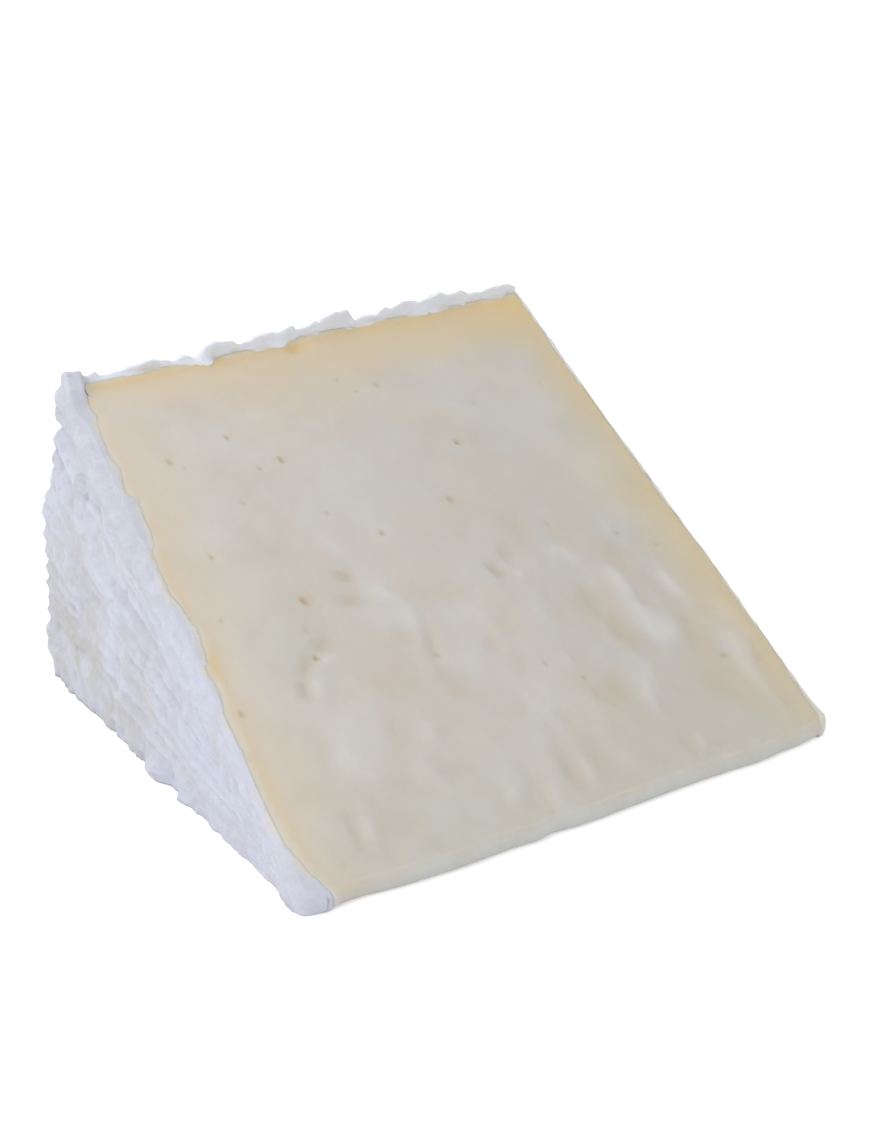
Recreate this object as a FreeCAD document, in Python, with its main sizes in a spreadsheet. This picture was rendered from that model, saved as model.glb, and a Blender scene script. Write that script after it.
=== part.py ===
"""Wedge of a soft-ripened sheep's-milk cheese with a white bloomy rind.

A whole wheel is turned from half of its cross-section.  Four more solids stand
for what shapes the piece: the lower cut, flat from lying on it; the upper cut,
which sags and folds and leaves torn rind standing along the rim; and the two
sides of the wheel, ridged by the draining mat, with the rind rolled over the
edge of the cut.  The cheese is what they all share.

The piece lies on its lower cut: X runs across the wheel from rind to rind,
Y from the tip to the outer rind, and Z is up.
"""

import FreeCAD, Part
import Sketcher
import math
import os

Vector = FreeCAD.Vector
NODE = "cheese_wedge"

# Driving dimensions, in millimetres and degrees: alias, value, what it measures.
SIZES = (
    ("rim_width", 95.0, "rind to rind across the outer rind"),
    ("tip_width", 98.3, "rind to rind across the slumped tip"),
    ("left_radius", 97.0, "outer radius at the left side of the wheel"),
    ("right_radius", 106.0, "outer radius at the right side of the wheel"),
    ("wedge_angle", 35.1, "angle between the two cuts"),
    ("shoulder_round", 2.6, "edge between a side and the outer rind"),
    ("left_lip", 4.0, "roll of the rind over the left edge of the upper cut"),
    ("right_lip", 1.5, "roll of the rind over the right edge of the upper cut"),
    ("rim_lip", 1.2, "that roll at the rim, where the rind tore instead"),
    ("lip_turn", 66.0, "angle that the rind rolls through before the cut"),
    ("corner_draw", 1.8, "how far the sides draw in at the two ends of the tip"),
    ("corner_reach", 5.0, "length over which they draw in"),
    ("tip_round", 0.8, "blunt edge where the two cuts meet"),
    ("tip_plump", 0.6, "rise of the upper cut just behind the middle of the tip"),
    ("plump_reach", 8.0, "how far behind the tip that rise fades"),
    ("cut_sag", 0.9, "sag of the upper cut over its soft middle"),
    ("sag_across", 21.0, "reach of that sag across the wheel"),
    ("sag_along", 20.0, "reach of that sag from tip to rind"),
    ("sag_left", 14.0, "how far left of the middle it lies"),
    ("sag_from_tip", 47.0, "how far from the tip it lies"),
    ("fold_depth", 0.35, "folds that run from the tip towards the rind"),
    ("fold_pitch", 14.0, "from one fold to the next"),
    ("fold_start", 14.0, "where the folds reach their depth behind the tip"),
    ("fold_end", 76.0, "where they have died away towards the rind"),
    ("crest_height", 3.2, "tallest torn rind above the upper cut"),
    ("crest_width", 4.0, "torn rind from its crest down to the paste"),
    ("crest_pitch", 19.0, "from one torn lump to the next"),
    ("rind_relief", 0.8, "ridges and swells of the two sides"),
    ("ridge_pitch", 12.0, "from one ridge to the next"),
    ("pole_gap", 3.0, "spacing of the poles that carry the relief"),
)

# How far the blanks reach past the surfaces that trim them.
SIDE_SPARE = 2.0
EDGE_SPARE = 12.0


def make_sheet(doc):
    """Keep the driving dimensions in a spreadsheet, each under its alias."""
    sheet = doc.addObject("Spreadsheet::Sheet", "Sizes")
    for row, (alias, value, meaning) in enumerate(SIZES, start=1):
        sheet.set(f"A{row}", alias)
        sheet.set(f"B{row}", str(value))
        sheet.set(f"C{row}", meaning)
        sheet.setAlias(f"B{row}", alias)
    doc.recompute()
    return sheet


def make_wheel(doc):
    """The whole wheel: half its section turned about the axis, shoulders rounded.

    It is SIDE_SPARE wider on each side than the piece, so that the solids of
    the two sides trim it all over.
    """
    body = doc.addObject("PartDesign::Body", "Wheel")
    plane = next(f for f in body.Origin.OriginFeatures if f.Role == "XY_Plane")
    sketch = body.newObject("Sketcher::SketchObject", "WheelSection")
    sketch.AttachmentSupport = (plane, [""])
    sketch.MapMode = "FlatFace"

    # The axis, the right side, the outer rind and the left side.
    corners = [Vector(-52, 0, 0), Vector(52, 0, 0), Vector(49, 107, 0), Vector(-49, 100, 0)]
    for start, end in zip(corners, corners[1:] + corners[:1]):
        sketch.addGeometry(Part.LineSegment(start, end), False)
    for line in range(4):
        sketch.addConstraint(Sketcher.Constraint("Coincident", line, 2, (line + 1) % 4, 1))
    sketch.addConstraint(Sketcher.Constraint("Symmetric", 0, 1, 0, 2, -1, 1))
    sketch.addConstraint(Sketcher.Constraint("Horizontal", 0))
    bound = (
        ("axis", ("DistanceX", 0, 1, 0, 2), f"Sizes.tip_width + {2 * SIDE_SPARE}"),
        ("right_half", ("DistanceX", -1, 1, 2, 1), f"Sizes.rim_width / 2 + {SIDE_SPARE}"),
        ("left_half", ("DistanceX", 3, 1, -1, 1), f"Sizes.rim_width / 2 + {SIDE_SPARE}"),
        ("right_reach", ("DistanceY", -1, 1, 2, 1), "Sizes.right_radius"),
        ("left_reach", ("DistanceY", -1, 1, 3, 1), "Sizes.left_radius"),
    )
    for name, (kind, *places), expression in bound:
        index = sketch.addConstraint(Sketcher.Constraint(kind, *places, 90.0))
        sketch.renameConstraint(index, name)
        sketch.setExpression(f"Constraints.{name}", expression)

    turn = body.newObject("PartDesign::Revolution", "WheelTurn")
    turn.Profile = sketch
    turn.ReferenceAxis = (sketch, ["H_Axis"])
    turn.Angle = 360
    doc.recompute()

    # The two circles are the edges where the sides meet the outer rind.
    circles = [
        f"Edge{number}"
        for number, edge in enumerate(turn.Shape.Edges, start=1)
        if isinstance(edge.Curve, Part.Circle)
    ]
    shoulders = body.newObject("PartDesign::Fillet", "Shoulders")
    shoulders.Base = (turn, circles)
    shoulders.setExpression("Radius", "Sizes.shoulder_round")
    body.Tip = shoulders
    doc.recompute()
    return body


def make_lower_cut(doc):
    """All that lies above the flat lower cut, from just ahead of the tip."""
    block = doc.addObject("Part::Box", "AboveLowerCut")
    block.setExpression("Length", f"Sizes.tip_width + Sizes.rim_width + {2 * EDGE_SPARE}")
    block.setExpression("Width", f"Sizes.left_radius + Sizes.right_radius + {EDGE_SPARE}")
    block.setExpression("Height", "Sizes.left_radius + Sizes.right_radius")
    block.setExpression("Placement.Base.x", f"-(Sizes.tip_width + Sizes.rim_width) / 2 - {EDGE_SPARE}")
    block.Placement.Base.y = -EDGE_SPARE
    return block


def pole_surface(rows):
    """A cubic B-spline face on a net of poles, clamped at its four borders."""
    degree = 3

    def knots(count):
        spans = count - degree
        inner = [1] * (spans - 1)
        return [float(k) for k in range(spans + 1)], [degree + 1] + inner + [degree + 1]

    along_knots, along_mults = knots(len(rows))
    cross_knots, cross_mults = knots(len(rows[0]))
    surface = Part.BSplineSurface()
    surface.buildFromPolesMultsKnots(
        rows, along_mults, cross_mults, along_knots, cross_knots, False, False, degree, degree
    )
    return surface.toShape()


def steps(start, end, gap):
    """Evenly spaced numbers from start to end, about one gap apart."""
    count = max(4, math.ceil((end - start) / gap))
    return [start + (end - start) * i / count for i in range(count + 1)]


def smooth(value):
    """Rise from 0 to 1 with level ends as the value goes from 0 to 1."""
    value = min(1.0, max(0.0, value))
    return value * value * (3.0 - 2.0 * value)


class CutPlane:
    """The slope of the upper cut: out from the wheel's axis, and square to it."""

    def __init__(self, sheet):
        angle = math.radians(float(sheet.wedge_angle))
        self.out = Vector(0, math.cos(angle), math.sin(angle))
        self.normal = Vector(0, -math.sin(angle), math.cos(angle))
        self.drop = max(float(sheet.left_radius), float(sheet.right_radius)) * math.sin(angle)

    def point(self, across, along, height):
        """A point across the wheel, out along the cut and above it."""
        return Vector(across, 0, 0) + self.out * along + self.normal * height


def outer_radius(sheet, across):
    """The outer rind leans, so its radius changes evenly from side to side."""
    left, right = float(sheet.left_radius), float(sheet.right_radius)
    part_way = across / float(sheet.rim_width) + 0.5
    return left + (right - left) * part_way


def half_width(sheet, along):
    """The sides draw in evenly from tip to outer rind, and quickly at the tip."""
    tip, rim = float(sheet.tip_width) / 2, float(sheet.rim_width) / 2
    reach = (float(sheet.left_radius) + float(sheet.right_radius)) / 2
    corner = float(sheet.corner_draw) * (1.0 - smooth(along / float(sheet.corner_reach)))
    return tip + (rim - tip) * along / reach - corner


def cut_relief(sheet, across, along):
    """Height of the upper cut over its plane: plump tip, sag, folds, torn crest."""
    reach = outer_radius(sheet, across)
    width = float(sheet.rim_width)

    # The tip is plumpest in its middle, so its edge bows out.
    bow = 1.0 - (2.0 * across / float(sheet.tip_width)) ** 2
    plump = float(sheet.tip_plump) * bow * math.exp(-max(along, 0.0) / float(sheet.plump_reach))

    # The middle of the paste is softest, so the cut hollows there.
    off_across = (across + float(sheet.sag_left)) / float(sheet.sag_across)
    off_along = (along - float(sheet.sag_from_tip)) / float(sheet.sag_along)
    sag = -float(sheet.cut_sag) * math.exp(-off_across ** 2 - off_along ** 2)

    # Folds lean as they leave the tip, and fade towards the rind and the left.
    phase = 2 * math.pi * (across + 0.35 * along) / float(sheet.fold_pitch)
    end = float(sheet.fold_end)
    fade = smooth(along / float(sheet.fold_start)) * smooth(2.5 * (1 - along / end))
    folds = float(sheet.fold_depth) * fade * smooth(0.6 + across / width)
    folds *= math.sin(phase) + 0.5 * math.sin(2.3 * phase + 1.0)

    # The rind tears in uneven lumps along the rim, taller towards the right,
    # and stands up again in the left corner.
    turn = 2 * math.pi * across / float(sheet.crest_pitch)
    lumps = 0.2 * math.sin(turn) + 0.12 * math.sin(2.7 * turn + 1.6)
    corner = 0.5 * math.exp(-((across / width + 0.5) / 0.07) ** 2)
    height = float(sheet.crest_height) * (0.45 + 0.4 * across / width + lumps + corner)
    rise = smooth((along - reach) / float(sheet.crest_width) + 1.0)
    return plump + sag + folds + height * rise


def rind_swell(sheet, along, down):
    """Ridges along the sides, which swing and swell, mostly hollowed into them."""
    ridge = 2 * math.pi * down / float(sheet.ridge_pitch)
    swing = math.sin(along / 13.0 + 0.5)
    swell = math.sin(along / 9.0 - down / 17.0) + math.sin(down / 7.0 + along / 23.0 + 2.0)
    return float(sheet.rind_relief) * (0.4 * math.sin(ridge + swing) + 0.3 * swell - 0.5)


def add_solid(doc, name, shape):
    """Put a computed shape in the document."""
    feature = doc.addObject("Part::Feature", name)
    feature.Shape = shape
    return feature


def make_knife_side(doc, sheet, plane):
    """All that lies under the knife's path, which is the upper cut's surface."""
    gap = float(sheet.pole_gap)
    reach = max(float(sheet.left_radius), float(sheet.right_radius)) + EDGE_SPARE
    half = max(float(sheet.tip_width), float(sheet.rim_width)) / 2 + EDGE_SPARE
    rows = [
        [plane.point(x, r, cut_relief(sheet, x, r)) for r in steps(-EDGE_SPARE, reach, gap)]
        for x in steps(-half, half, gap)
    ]
    depth = plane.drop + reach
    return add_solid(doc, "UnderTheKnife", pole_surface(rows).extrude(plane.normal * -depth))


def lip_path(sheet, lip, depth):
    """Inward and upward offsets down one side: past the cut, round the lip, down.

    The rind rolls over in an arc of the lip's radius.  It has turned lip_turn
    degrees where it meets the cut, and runs on straight above it.
    """
    turn = math.radians(float(sheet.lip_turn))
    meet = lip * (1 - math.cos(turn))
    above = 3 * float(sheet.crest_height)
    path = [(meet + part * above * math.tan(turn), part * above) for part in (1.0, 0.5, 0.15)]
    for quarter in (1.0, 0.75, 0.5, 0.25, 0.0):
        angle = turn * quarter
        path.append((lip * (1 - math.cos(angle)), lip * (math.sin(angle) - math.sin(turn))))
    foot = path[-1][1]
    return path + [(0.0, foot - drop) for drop in steps(1.0, depth, float(sheet.pole_gap))]


def make_wheel_side(doc, sheet, plane, name, side, lip):
    """All that lies inward of one side of the wheel: left is -1 and right is 1."""
    reach = max(float(sheet.left_radius), float(sheet.right_radius)) + EDGE_SPARE
    rim_lip = min(lip, float(sheet.rim_lip))
    columns = []
    for along in steps(-EDGE_SPARE, reach, float(sheet.pole_gap)):
        # The roll tightens over the last stretch before the rim.
        torn = smooth((along - reach + 3 * EDGE_SPARE) / EDGE_SPARE)
        column = []
        for inward, height in lip_path(sheet, lip + (rim_lip - lip) * torn, plane.drop + EDGE_SPARE):
            point = plane.point(0, along, height)
            out = half_width(sheet, point.y) - inward + rind_swell(sheet, along + 9 * side, -height)
            column.append(point + Vector(side * out, 0, 0))
        columns.append(column)
    across = 2 * (float(sheet.tip_width) + EDGE_SPARE)
    return add_solid(doc, name, pole_surface(columns).extrude(Vector(-side * across, 0, 0)))


def share(doc, name, first, second):
    """What two solids have in common."""
    common = doc.addObject("Part::Common", name)
    common.Base = first
    common.Tool = second
    return common


def blunt_tip(doc, sheet, wedge):
    """Round the long edge where the two cuts meet."""
    fillet = doc.addObject("Part::Fillet", "BluntTip")
    fillet.Base = wedge
    radius = float(sheet.tip_round)
    fillet.Edges = [
        (number, radius, radius)
        for number, edge in enumerate(wedge.Shape.Edges, start=1)
        if edge.BoundBox.XLength > float(sheet.rim_width) / 2
        and edge.BoundBox.YMax < float(sheet.left_radius) / 4
    ]
    return fillet


def check(doc, final):
    """Stop if any object failed or the cheese is not one sound solid."""
    for item in doc.Objects:
        if "Invalid" in item.State or "Error" in item.State:
            raise RuntimeError(f"{item.Name} failed: {item.State}")
    shape = final.Shape
    if shape.isNull() or not shape.isValid() or len(shape.Solids) != 1:
        raise RuntimeError(f"{final.Label} is not one valid solid")


def main():
    doc = FreeCAD.newDocument("CheeseWedge")
    sheet = make_sheet(doc)
    plane = CutPlane(sheet)
    wheel = make_wheel(doc)
    left = make_wheel_side(doc, sheet, plane, "LeftSide", -1, float(sheet.left_lip))
    right = make_wheel_side(doc, sheet, plane, "RightSide", 1, float(sheet.right_lip))
    knife = make_knife_side(doc, sheet, plane)
    sector = share(doc, "Sector", share(doc, "UpperHalf", wheel, make_lower_cut(doc)), knife)
    wedge = share(doc, "Wedge", share(doc, "LeftTrimmed", sector, left), right)
    doc.recompute()

    cheese = blunt_tip(doc, sheet, wedge)
    cheese.Label = NODE
    doc.recompute()

    # The origin is under the middle of the piece, on the surface that it lies on.
    box = cheese.Shape.optimalBoundingBox()
    cheese.Placement.Base = Vector(-box.Center.x, -box.Center.y, -box.ZMin)
    doc.recompute()

    check(doc, cheese)
    os.makedirs("parts", exist_ok=True)
    cheese.Shape.exportStep(os.path.join("parts", f"{NODE}.step"))
    box = cheese.Shape.optimalBoundingBox()
    print(f"{NODE}: {box.XLength:.1f} x {box.YLength:.1f} x {box.ZLength:.1f} mm,"
          f" {cheese.Shape.Volume / 1000:.1f} ml, {len(cheese.Shape.Faces)} faces")


main()
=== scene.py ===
# A wedge of soft-ripened sheep's-milk cheese, lying on one of its two cut faces.
# The soft paste comes first, then the white rind that wraps it on three sides and
# stands up torn along the rim, and last the studio.  Sizes are in millimetres and
# become metres when a mesh is made.

import math

import bpy
import numpy as np
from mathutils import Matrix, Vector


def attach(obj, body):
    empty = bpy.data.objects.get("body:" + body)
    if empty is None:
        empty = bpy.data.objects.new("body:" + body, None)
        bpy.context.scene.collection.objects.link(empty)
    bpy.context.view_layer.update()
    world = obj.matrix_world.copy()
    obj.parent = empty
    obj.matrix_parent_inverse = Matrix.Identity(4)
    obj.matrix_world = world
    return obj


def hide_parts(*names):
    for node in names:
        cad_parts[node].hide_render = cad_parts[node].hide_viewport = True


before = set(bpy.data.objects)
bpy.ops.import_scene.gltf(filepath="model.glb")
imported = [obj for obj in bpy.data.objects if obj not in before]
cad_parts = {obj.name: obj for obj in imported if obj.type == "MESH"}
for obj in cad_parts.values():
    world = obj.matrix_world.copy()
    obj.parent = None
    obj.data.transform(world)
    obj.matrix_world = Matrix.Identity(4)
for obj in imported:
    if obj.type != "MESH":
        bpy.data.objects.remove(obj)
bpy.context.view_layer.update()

# --- The paste --------------------------------------------------------------------
# The soft inside of the cheese: drained sheep's-milk curd, turned pliable by the
# mould from the rind inwards.  A knife went through it twice, towards the wheel's
# axis, and the upper cut has since sagged, folded and slumped into a blunt tip.

AXIS = np.array([-0.17, -53.32, 0.0])   # the wheel's axis in the part's frame, along X
WEDGE_ANGLE = math.radians(35.1)        # between the two cuts
LEFT_RADIUS, RIGHT_RADIUS = 97.0, 106.0     # the outer rind leans
TIP_WIDTH, RIM_WIDTH = 98.3, 95.0       # rind to rind, at the axis and at the rim
NOSE_ROUND = 1.7                        # radius of the blunt edge where the cuts meet
UNDER_LEFT, UNDER_RIGHT = 1.0, 0.45     # how far in the cut paste starts at each side
UNDER_RIM = 0.45                        # and at the rim
UNDER_WALL = 2.3                        # how deep the paste lies under the rind below
RIM_STEP = 0.6                          # the outer rind stands out by this on the right
CORNER_DRAW, CORNER_REACH = 1.8, 5.0    # the sides draw in by this over this at the tip
TIP_PLUMP, PLUMP_REACH = 0.6, 8.0       # rise of the cut behind the tip, and its reach
EDGE_PLUMP, EDGE_REACH = 0.95, 3.5      # and the rise of the blunt edge itself
SAG, SAG_ACROSS, SAG_ALONG = 0.9, 21.0, 20.0    # sag of the cut, and its reach both ways
SAG_LEFT, SAG_FROM_TIP = 14.0, 47.0     # where the middle of the sag lies
FOLD_DEPTH, FOLD_PITCH = 0.1, 14.0      # long folds of the cut
FOLD_START, FOLD_END = 14.0, 76.0       # they grow up to here, and are gone by there
RIM_TURN = 0.04                         # the outer wall starts this many radians round
AWAY = 99.0                             # the distance to what lies on the other side

OUT = np.array([0.0, math.cos(WEDGE_ANGLE), math.sin(WEDGE_ANGLE)])
NORMAL = np.array([0.0, -math.sin(WEDGE_ANGLE), math.cos(WEDGE_ANGLE)])


def smooth(value):
    """Rise from 0 to 1 with level ends: 3 v squared less 2 v cubed, v kept in 0 to 1."""
    value = np.clip(value, 0.0, 1.0)
    return value * value * (3.0 - 2.0 * value)


def hump(offset, reach):
    """A bell: e to the power of minus the square of the offset over its reach."""
    return np.exp(-((offset / reach) ** 2))


def noise(points, pitch, seed):
    """Smooth random swells from about -1 to 1, one pitch apart.

    Random numbers sit at the corners of a cubic lattice, and each point takes a mean
    of the eight corners round it, weighted by the smooth of how near it is to each.
    """
    table = np.random.default_rng(seed).uniform(-1.0, 1.0, (32, 32, 32))
    scaled = np.asarray(points) / pitch
    cell = np.floor(scaled).astype(int)
    part = smooth(scaled - cell)
    total = np.zeros(scaled.shape[:-1])
    for corner in np.ndindex(2, 2, 2):
        weight = np.prod(np.where(np.array(corner) == 1, part, 1.0 - part), axis=-1)
        index = (cell + np.array(corner)) % 32
        total += weight * table[index[..., 0], index[..., 1], index[..., 2]]
    return total


def rough(points, pitch, seed, layers=3):
    """Noise with finer noise on top: each layer has half the pitch and half the height."""
    layered = [0.5 ** n * noise(points, pitch * 0.5 ** n, seed + n) for n in range(layers)]
    return sum(layered)


def at(across, along, seed=0.0):
    """Places on the cut as points for the noise: across, along and a fixed third."""
    across, along = np.broadcast_arrays(across, along)
    return np.stack([across, along, np.full(across.shape, 500.0 + seed)], axis=-1)


def eased(places, table):
    """Read a table of place and value, going level-ended from each value to the next."""
    knots, values = np.array(table).T
    index = np.clip(np.searchsorted(knots, places) - 1, 0, len(knots) - 2)
    part = smooth((places - knots[index]) / (knots[index + 1] - knots[index]))
    return values[index] + (values[index + 1] - values[index]) * part


def outer_radius(across):
    """The outer rind's distance from the axis: an even change across, and a step."""
    even = LEFT_RADIUS + (RIGHT_RADIUS - LEFT_RADIUS) * (across / RIM_WIDTH + 0.5)
    return even + RIM_STEP * smooth((across + 10.0) / 10.0)


def half_width(y):
    """Half the wheel's thickness at a depth y: an even taper, drawn in at the tip."""
    mean_radius = (LEFT_RADIUS + RIGHT_RADIUS) / 2
    taper = TIP_WIDTH / 2 + (RIM_WIDTH - TIP_WIDTH) / 2 * y / mean_radius
    return taper - CORNER_DRAW * (1.0 - smooth(y / CORNER_REACH))


def lean_in(points):
    """Draw the right side in, by 1 hundredth of its place, and by 1.7 near the rim."""
    x, y, z = np.moveaxis(points, -1, 0)
    draw = (0.01 + 0.007 * smooth((np.hypot(y, z) - 40.0) / 30.0)) * (x > 0)
    return np.stack([x * (1.0 - draw), y, z], axis=-1)


def cut_sweeps(across, along):
    """The broad form of the upper cut over its plane: plump tip, sag and long folds.

    The plump tip dies away exponentially behind the edge, the sag is a bell, and the
    folds are two sines of a phase that leans as it leaves the tip.
    """
    bow = 1.0 - (2.0 * across / TIP_WIDTH) ** 2
    back = np.maximum(along, 0.0)
    plump = TIP_PLUMP * bow * np.exp(-back / PLUMP_REACH)
    plump = plump + EDGE_PLUMP * np.exp(-back / EDGE_REACH)
    sag = -SAG * hump(across + SAG_LEFT, SAG_ACROSS) * hump(along - SAG_FROM_TIP, SAG_ALONG)
    phase = 2 * math.pi * (across + 0.35 * along) / FOLD_PITCH
    fade = smooth(along / FOLD_START) * smooth(2.5 * (1.0 - along / FOLD_END))
    fade = fade * smooth(0.6 + across / RIM_WIDTH)
    return plump + sag + FOLD_DEPTH * fade * (np.sin(phase) + 0.5 * np.sin(2.3 * phase + 1.0))


# Creases (below 0) and ridges (above 0) that the knife and the sagging left in the
# cut: from across and along, to across and along, half-width and height.
CREASES = (
    (-18.5, 52.3, -19.2, 49.8, 1.4, -0.5), (-20.0, 48.0, -20.4, 45.0, 1.7, -0.45),
    (-15.8, 49.5, -12.8, 44.0, 1.5, 0.34), (-12.8, 44.0, -12.4, 38.0, 1.4, 0.3),
    (-15.2, 41.0, -14.8, 36.0, 1.1, -0.26), (-10.9, 39.5, -10.9, 33.0, 1.1, -0.38),
    (-10.9, 33.0, -10.3, 25.0, 1.5, -0.28), (-8.4, 36.0, -8.2, 28.5, 1.6, 0.2),
    (-25.6, 41.8, -29.5, 39.8, 1.5, -0.36), (-29.8, 39.4, -33.6, 36.0, 1.2, -0.42),
    (-33.6, 36.0, -34.2, 32.0, 1.1, -0.42), (-26.5, 38.3, -29.6, 36.8, 1.3, 0.3),
    (-31.4, 35.6, -32.2, 31.6, 1.4, 0.28), (-2.6, 35.0, 1.0, 31.6, 1.3, -0.24),
    (1.0, 31.6, 1.8, 26.0, 1.5, -0.26), (6.6, 49.2, 8.0, 44.6, 0.9, -0.5),
    (9.6, 44.4, 12.0, 44.0, 1.0, 0.25), (10.8, 51.3, 12.2, 46.8, 1.3, -0.36),
    (13.8, 56.0, 16.5, 49.0, 1.6, -0.2), (19.5, 49.0, 22.5, 42.5, 1.8, 0.24),
    (18.8, 39.0, 21.4, 32.0, 1.8, -0.36), (21.4, 32.0, 24.0, 25.0, 1.7, -0.4),
    (26.2, 42.5, 28.0, 34.0, 1.8, 0.34), (28.0, 34.0, 29.6, 24.5, 1.9, 0.4),
    (29.4, 47.0, 31.6, 38.0, 1.3, -0.34), (33.0, 41.0, 34.0, 33.0, 1.6, -0.24),
    (36.8, 38.5, 37.4, 32.0, 1.6, 0.24), (34.8, 30.0, 35.4, 22.0, 1.8, -0.46),
    (35.4, 22.0, 35.0, 8.0, 1.7, -0.48), (41.0, 26.0, 40.5, 9.0, 1.9, 0.42),
    (44.2, 20.0, 43.6, 6.5, 1.3, -0.22), (13.2, 23.0, 15.6, 17.5, 1.4, -0.42),
    (10.6, 21.0, 13.4, 16.6, 0.8, -0.42), (15.6, 17.5, 15.8, 11.0, 1.4, -0.34),
    (19.4, 22.5, 19.9, 12.5, 1.7, 0.34), (21.6, 16.0, 21.8, 11.0, 1.3, -0.2),
    (14.2, 9.5, 14.6, 4.0, 1.3, -0.28), (20.6, 9.6, 20.8, 5.2, 1.2, -0.3),
    (23.3, 9.5, 23.3, 4.8, 1.2, 0.3), (26.2, 7.2, 26.4, 3.8, 1.4, -0.34),
    (30.0, 5.0, 32.5, 3.4, 1.6, 0.32), (8.4, 13.0, 8.0, 5.0, 1.8, 0.3),
    (4.2, 12.0, 4.0, 5.0, 1.2, -0.24), (-1.4, 14.0, -1.0, 6.0, 1.1, -0.46),
    (1.6, 11.0, 1.4, 4.5, 1.2, 0.3), (-9.2, 11.0, -9.0, 5.2, 1.3, -0.42),
    (-5.8, 9.5, -5.6, 3.8, 1.4, 0.36), (-12.8, 10.0, -12.0, 6.6, 1.1, 0.24),
    (-16.6, 23.0, -16.8, 19.0, 1.3, -0.34), (-19.0, 17.0, -18.2, 12.5, 1.4, -0.26),
    (-21.6, 19.5, -22.2, 11.0, 1.4, 0.24), (-23.6, 27.0, -24.6, 18.0, 1.4, -0.3),
    (-26.8, 19.0, -27.6, 11.0, 1.5, -0.22), (-34.6, 26.5, -36.2, 19.5, 1.5, -0.26),
    (-31.6, 24.0, -32.6, 18.0, 1.5, 0.22), (-36.6, 14.5, -37.4, 8.0, 1.0, -0.46),
    (-34.4, 12.5, -34.8, 8.5, 1.1, 0.3), (-41.0, 13.0, -42.0, 6.0, 1.4, -0.2),
    (-19.4, 59.5, -17.0, 53.5, 1.2, 0.26), (-3.0, 24.0, -4.4, 17.0, 1.6, -0.2),
    (-7.2, 98.2, -4.0, 100.0, 1.0, -0.5), (-20.8, 97.6, -19.6, 99.0, 0.7, -0.45),
    (-7.6, 1.5, -6.8, 5.5, 0.5, 0.3), (-8.6, 1.5, -7.8, 5.0, 0.5, -0.3),
)

# Mechanical openings and broken gas holes: across, along, radius and depth.
HOLES = (
    (-36.8, 78.2, 0.42, 0.26), (-35.0, 76.5, 0.3, 0.16), (-25.7, 81.2, 0.3, 0.3),
    (-18.7, 75.2, 0.34, 0.34), (-22.9, 74.3, 0.3, 0.22), (-28.5, 68.2, 0.5, 0.16),
    (-37.7, 59.3, 0.32, 0.22), (-15.8, 63.4, 0.32, 0.2), (-1.0, 90.0, 0.3, 0.2),
    (5.7, 87.8, 0.36, 0.26), (1.1, 86.9, 0.3, 0.2), (14.1, 72.7, 0.4, 0.36),
    (-8.6, 57.8, 0.36, 0.28), (6.4, 61.4, 0.5, 0.26), (21.3, 52.8, 0.5, 0.16),
    (33.3, 47.8, 0.34, 0.22), (39.5, 44.0, 0.3, 0.18), (-26.9, 48.8, 0.5, 0.34),
    (-29.0, 43.5, 0.5, 0.14), (-29.8, 38.6, 0.36, 0.34), (-10.9, 34.3, 0.32, 0.24),
    (5.2, 27.7, 0.32, 0.24), (10.2, 23.6, 0.36, 0.22), (37.6, 20.5, 0.34, 0.28),
    (43.7, 18.2, 0.34, 0.2), (-44.6, 32.6, 0.34, 0.28), (-0.2, 3.2, 0.3, 0.16),
    (-41.0, 48.0, 0.3, 0.16), (37.8, 82.8, 0.3, 0.18), (22.0, 80.5, 0.3, 0.14),
)


def creased(across, along):
    """Creases and ridges: a bell across each line, rounded off beyond its two ends.

    The nearest point of a line is its start plus its run times how far along the run
    the place lies, kept in 0 to 1.  Creases are up to 4 tenths shallower at the tip, and
    everything is stronger towards the right.
    """
    total = np.zeros(np.broadcast(across, along).shape)
    wander = 1.1 * noise(at(across, along), 5.5, 15)
    across = across + wander
    along = along + 1.1 * noise(at(across, along), 7.0, 16)
    for x1, r1, x2, r2, half, height in CREASES:
        run_x, run_r = x2 - x1, r2 - r1
        part = (across - x1) * run_x + (along - r1) * run_r
        part = np.clip(part / (run_x ** 2 + run_r ** 2), 0.0, 1.0)
        gap = np.hypot(across - x1 - part * run_x, along - r1 - part * run_r)
        fade = 0.2 + 0.8 * np.sin(math.pi * part)
        total += height * np.exp(-((gap / (1.2 * half)) ** 2)) * fade
    total = np.where(total < 0, total * (1.0 - 0.4 * smooth((30.0 - along) / 14.0)), total)
    return total * (1.25 + 0.35 * smooth((across + 5.0) / 25.0))


def holed(across, along):
    """Small holes: each is a nick at the left of a shallow dent three times as wide.

    The nick is a bell drawn out along the cheese by six tenths, and the dent is a
    bell too, 4 tenths as deep.
    """
    total = np.zeros(np.broadcast(across, along).shape)
    for x, r, radius, depth in HOLES:
        gap = np.hypot(across - x + 0.25 * (along - r), (along - r) / 1.6)
        dent = 0.4 * depth * hump(np.hypot(across - x - 1.5 * radius, along - r), 3.4 * radius)
        total = np.minimum(total, -depth * hump(gap, radius) - dent)
    return total


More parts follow.
